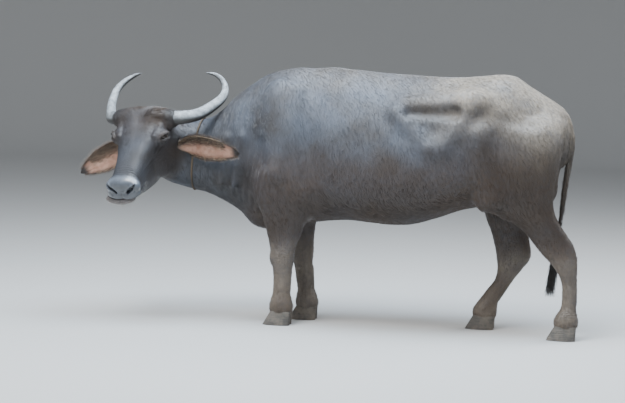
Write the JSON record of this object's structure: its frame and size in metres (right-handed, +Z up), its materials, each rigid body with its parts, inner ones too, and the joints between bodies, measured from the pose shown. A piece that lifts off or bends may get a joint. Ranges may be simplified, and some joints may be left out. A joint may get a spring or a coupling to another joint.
{
  "type": "water buffalo",
  "caption": "Life-size standing water buffalo cow, a still model: head turned to its left, back-swept crescent horns, drooping ears, barrel body, walking hind stance and a thin neck rope.",
  "frame": {"origin": "centre of the bounding box on the floor plane", "axes": "+Z up, -X towards the front of the animal, -Y towards its left side, which the picture shows"},
  "size_m": [2.423, 0.7206, 1.2164],
  "materials": {
    "hide": "dull slate-grey hide with sparse short hair, browner on the legs",
    "muzzle": "smooth, slightly moist dark nose pad and lips",
    "horn": "weathered grey horn, ringed near its root",
    "hoof": "worn grey-brown hoof horn",
    "eye": "wet, very dark brown",
    "ear": "thin skin, pink-brown inside with pale and dark hairs",
    "switch": "coarse black hair",
    "rope": "worn twisted plant fibre"
  },
  "bodies": {
    "root": {"ear_left": "ear", "ear_right": "ear", "eye_left": "eye", "eye_right": "eye", "eyelids_left": "hide", "eyelids_right": "hide", "foreleg_left_claw_inner": "hoof", "foreleg_left_claw_outer": "hoof", "foreleg_left_lower": "hide", "foreleg_left_upper": "hide", "foreleg_right_claw_inner": "hoof", "foreleg_right_claw_outer": "hoof", "foreleg_right_lower": "hide", "foreleg_right_upper": "hide", "head": "hide", "hindleg_left_claw_inner": "hoof", "hindleg_left_claw_outer": "hoof", "hindleg_left_lower": "hide", "hindleg_left_upper": "hide", "hindleg_right_claw_inner": "hoof", "hindleg_right_claw_outer": "hoof", "hindleg_right_lower": "hide", "hindleg_right_upper": "hide", "horn_left": "horn", "horn_right": "horn", "muzzle": "muzzle", "neck": "hide", "neck_rope": "rope", "tail_dock": "hide", "tail_switch": "switch", "torso": "hide"}
  },
  "joints": []
}
